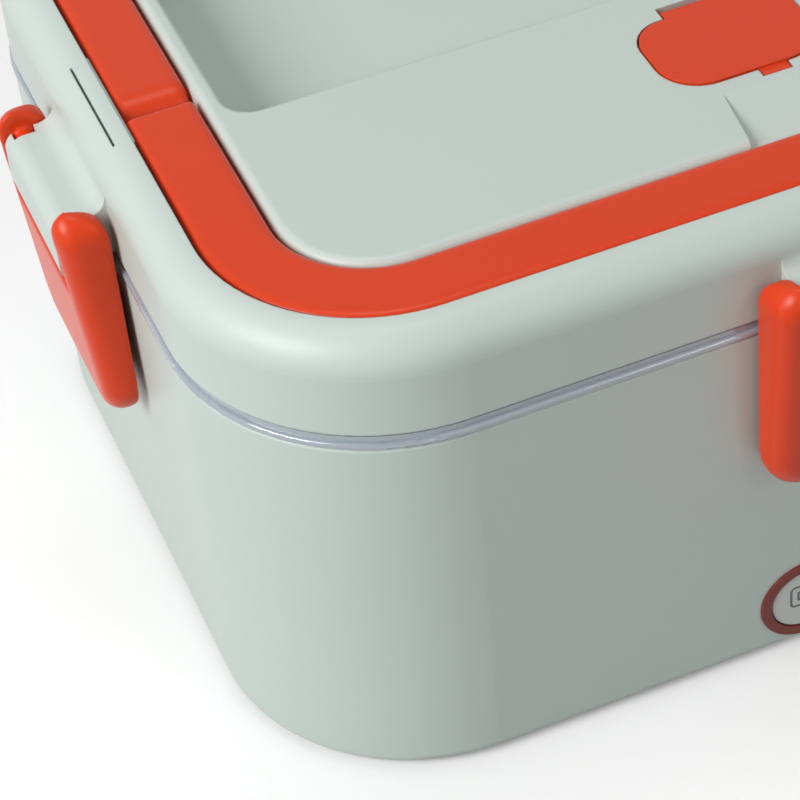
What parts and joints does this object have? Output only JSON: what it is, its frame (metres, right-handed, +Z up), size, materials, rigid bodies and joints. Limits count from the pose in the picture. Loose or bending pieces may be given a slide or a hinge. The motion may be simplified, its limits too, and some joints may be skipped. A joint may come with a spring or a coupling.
{
  "type": "electric lunch box",
  "caption": "Heated lunch box with a lift-out steel tray, clear inner lid and latched outer lid carrying a folding handle, cutlery well and steam vent flap.",
  "frame": {"origin": "centre of the box at the level of its feet, on the surface it stands on", "axes": "+X along the box to the right, +Y to the back, +Z up; the control keys face -Y"},
  "size_m": [0.2644, 0.2034, 0.1137],
  "materials": {
    "sage_plastic": "satin",
    "orange_plastic": "semi-gloss",
    "white_plastic": "satin",
    "clear_plastic": "clear",
    "silicone": "matte",
    "key_plastic": "semi-gloss",
    "tray_steel": "brushed",
    "zinc_steel": "zinc plated",
    "plate_aluminium": "satin",
    "heater_aluminium": "matte",
    "black_plastic": "matte",
    "board": "satin",
    "fuse_ceramic": "matte",
    "pin_brass": "polished",
    "foot_rubber": "matte"
  },
  "bodies": {
    "base": {"outer_body": "sage_plastic", "well_liner": "white_plastic", "control_ring": "orange_plastic", "control_board": "board", "heating_plate": "plate_aluminium", "plate_gasket": "silicone", "ptc_heater": "heater_aluminium", "heater_clamp": "zinc_steel", "clamp_nuts": "zinc_steel", "thermostat": "black_plastic", "thermal_fuse": "fuse_ceramic", "inlet_socket": "black_plastic", "inlet_pins": "pin_brass", "case_screws": "zinc_steel", "feet": "foot_rubber"},
    "tray": {"food_tray": "tray_steel"},
    "inner_cover": {"inner_lid": "clear_plastic", "inner_seal": "silicone"},
    "lid": {"outer_lid": "sage_plastic", "lid_liner": "white_plastic", "lid_seal": "silicone", "lid_screws": "zinc_steel", "front_trim": "orange_plastic"},
    "handle": {"carry_handle": "orange_plastic"},
    "vent": {"vent_flap": "orange_plastic"},
    "mode_button": {"mode_key": "key_plastic"},
    "power_button": {"power_key": "key_plastic"},
    "latch_front_lever": {"latch_front": "orange_plastic"},
    "latch_right_lever": {"latch_right": "orange_plastic"},
    "latch_back_lever": {"latch_back": "orange_plastic"},
    "latch_left_lever": {"latch_left": "orange_plastic"}
  },
  "joints": [
    {"name": "lid_lift", "type": "slide", "parent": "base", "child": "lid", "axis": [0, 0, 1], "range_m": [0, 0.16]},
    {"name": "inner_lid_lift", "type": "slide", "parent": "base", "child": "inner_cover", "axis": [0, 0, 1], "range_m": [0, 0.096]},
    {"name": "tray_lift", "type": "slide", "parent": "base", "child": "tray", "axis": [0, 0, 1], "range_m": [0, 0.072]},
    {"name": "handle_hinge", "type": "hinge", "parent": "lid", "child": "handle", "pos_m": [0, 0.002, 0.1075], "axis": [1, 0, 0], "range_deg": [0, 90]},
    {"name": "vent_hinge", "type": "hinge", "parent": "lid", "child": "vent", "pos_m": [0, -0.0231, 0.1116], "axis": [-1, 0, 0], "range_deg": [0, 100]},
    {"name": "latch_front_hinge", "type": "hinge", "parent": "lid", "child": "latch_front_lever", "pos_m": [0, -0.097, 0.0996], "axis": [-1, 0, 0], "range_deg": [0, 150]},
    {"name": "latch_right_hinge", "type": "hinge", "parent": "lid", "child": "latch_right_lever", "pos_m": [0.1275, 0, 0.0996], "axis": [0, -1, 0], "range_deg": [0, 150]},
    {"name": "latch_back_hinge", "type": "hinge", "parent": "lid", "child": "latch_back_lever", "pos_m": [0, 0.097, 0.0996], "axis": [1, 0, 0], "range_deg": [0, 150]},
    {"name": "latch_left_hinge", "type": "hinge", "parent": "lid", "child": "latch_left_lever", "pos_m": [-0.1275, 0, 0.0996], "axis": [0, 1, 0], "range_deg": [0, 150]},
    {"name": "mode_key_press", "type": "slide", "parent": "base", "child": "mode_button", "axis": [0, 1, 0], "range_m": [0, 0.0008], "stiffness_N_per_m": 400},
    {"name": "power_key_press", "type": "slide", "parent": "base", "child": "power_button", "axis": [0, 1, 0], "range_m": [0, 0.0008], "stiffness_N_per_m": 400}
  ],
  "couplings": [
    {"joint": "inner_lid_lift", "follows": "lid_lift", "ratio": 0.6},
    {"joint": "tray_lift", "follows": "lid_lift", "ratio": 0.45}
  ]
}
